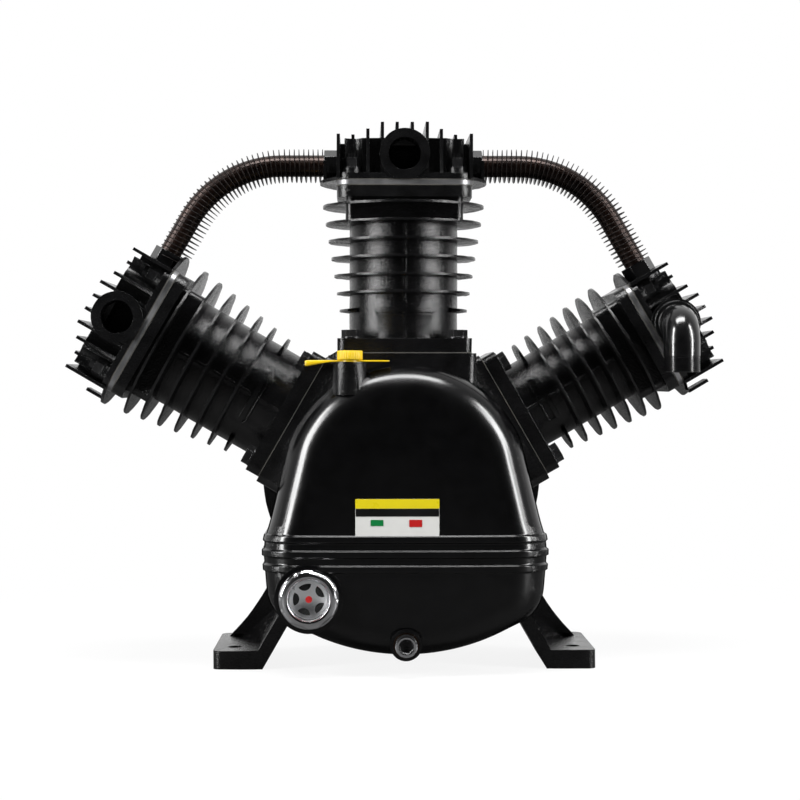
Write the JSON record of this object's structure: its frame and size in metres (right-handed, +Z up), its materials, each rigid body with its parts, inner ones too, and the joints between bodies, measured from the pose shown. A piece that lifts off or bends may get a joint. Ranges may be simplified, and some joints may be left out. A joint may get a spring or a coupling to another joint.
{
  "type": "air compressor pump head",
  "caption": "Belt-driven two-stage piston compressor pump with finned cylinders set in a W, finned cooler tubes, sight glass, oil filler and foot mounts.",
  "frame": {"origin": "centre of the foot bolt pattern on the base plane", "axes": "+X across the pump to the right seen from the sight glass side, +Y along the shaft towards the flywheel seat, +Z up"},
  "size_m": [0.6172, 0.3733, 0.5105],
  "materials": {
    "smooth_black_paint": "gloss black paint on the smooth crankcase front",
    "black_casting_paint": "semi gloss black paint over rough casting",
    "black_elbow_paint": "black painted elbow",
    "dark_bolts": "black oxide fasteners",
    "gasket_paper": "gasket sheet",
    "bearing_steel": "ground bearing steel",
    "black_rubber": "black rubber seal",
    "forged_steel": "machined forged steel",
    "grey_cast_iron": "grey cast iron",
    "bare_aluminium": "machined aluminium",
    "dark_tube": "dark brownish tube wall",
    "dark_tube_fins": "black tube fins",
    "chrome_bezel": "bright chromed bezel",
    "clear_window": "clear window",
    "silver_disc": "silver spoked disc",
    "copper_washer": "copper sealing washer",
    "yellow_plastic": "yellow plastic",
    "plain_label": "plain printed label without lettering"
  },
  "bodies": {
    "pump_casing": {"crankcase": "smooth_black_paint", "bearing_housing": "black_casting_paint", "bearing_housing_gasket": "gasket_paper", "bearing_housing_bolts": "dark_bolts", "front_bearing_outer_race": "bearing_steel", "front_bearing_balls": "bearing_steel", "rear_bearing_outer_race": "bearing_steel", "rear_bearing_balls": "bearing_steel", "shaft_seal": "black_rubber", "cylinder_left": "black_casting_paint", "cylinder_centre": "black_casting_paint", "cylinder_right": "black_casting_paint", "base_gaskets": "gasket_paper", "base_bolts": "dark_bolts", "head_gaskets": "gasket_paper", "valve_plate_left": "forged_steel", "valve_plate_centre": "forged_steel", "valve_plate_right": "forged_steel", "intake_reeds": "bearing_steel", "discharge_reeds": "bearing_steel", "head_left": "black_casting_paint", "head_centre": "black_casting_paint", "head_right": "black_casting_paint", "head_studs": "dark_bolts", "head_nuts": "dark_bolts", "tube_left": "dark_tube", "tube_right": "dark_tube", "tube_fins_left": "dark_tube_fins", "tube_fins_right": "dark_tube_fins", "tube_nuts": "dark_bolts", "discharge_elbow": "black_elbow_paint", "sight_bezel": "chrome_bezel", "sight_window": "clear_window", "sight_disc": "silver_disc", "sight_seal": "black_rubber", "drain_washer": "copper_washer", "label_plate": "plain_label"},
    "crank": {"crankshaft": "forged_steel", "counterweight": "grey_cast_iron", "counterweight_bolts": "dark_bolts", "front_bearing_inner_race": "bearing_steel", "rear_bearing_inner_race": "bearing_steel"},
    "centre_piston": {"piston_centre": "bare_aluminium", "rings_centre": "grey_cast_iron", "gudgeon_pin_centre": "bearing_steel", "rod_centre": "forged_steel", "crank_pin": "bearing_steel", "oil_dipper": "forged_steel"},
    "left_piston": {"piston_left": "bare_aluminium", "rings_left": "grey_cast_iron", "gudgeon_pin_left": "bearing_steel"},
    "right_piston": {"piston_right": "bare_aluminium", "rings_right": "grey_cast_iron", "gudgeon_pin_right": "bearing_steel"},
    "left_rod": {"rod_left": "forged_steel"},
    "right_rod": {"rod_right": "forged_steel"},
    "filler": {"filler_plug": "yellow_plastic", "filler_tag": "yellow_plastic"},
    "drain": {"drain_plug": "dark_bolts"}
  },
  "joints": [
    {"name": "crankshaft_spin", "type": "hinge", "parent": "pump_casing", "child": "crank", "pos_m": [0, 0, 0.175], "axis": [0, 1, 0], "continuous": true},
    {"name": "piston_centre_stroke", "type": "slide", "parent": "pump_casing", "child": "centre_piston", "axis": [0, 0, 1], "range_m": [-0.06, 0]},
    {"name": "piston_left_stroke", "type": "slide", "parent": "pump_casing", "child": "left_piston", "axis": [-0.866, 0, 0.5], "range_m": [-0.0454, 0.0146]},
    {"name": "piston_right_stroke", "type": "slide", "parent": "pump_casing", "child": "right_piston", "axis": [0.866, 0, 0.5], "range_m": [-0.0454, 0.0146]},
    {"name": "rod_left_swing", "type": "hinge", "parent": "left_piston", "child": "left_rod", "pos_m": [-0.19084, -0.02, 0.28518], "axis": [0, 1, 0], "range_deg": [-1.12, 15.54]},
    {"name": "rod_right_swing", "type": "hinge", "parent": "right_piston", "child": "right_rod", "pos_m": [0.19084, 0.02, 0.28518], "axis": [0, 1, 0], "range_deg": [-15.54, 1.12]},
    {"name": "filler_plug_lift", "type": "slide", "parent": "pump_casing", "child": "filler", "axis": [0, 0, 1], "range_m": [0, 0.03]},
    {"name": "drain_plug_out", "type": "slide", "parent": "pump_casing", "child": "drain", "axis": [0, -1, 0], "range_m": [0, 0.03]}
  ],
  "couplings": [
    {"joint": "piston_left_stroke", "follows": "piston_centre_stroke", "ratio": 0.5},
    {"joint": "piston_right_stroke", "follows": "piston_centre_stroke", "ratio": 0.5},
    {"joint": "rod_left_swing", "follows": "piston_centre_stroke", "rad_per_m": -4.1948},
    {"joint": "rod_right_swing", "follows": "piston_centre_stroke", "rad_per_m": 4.1948}
  ]
}
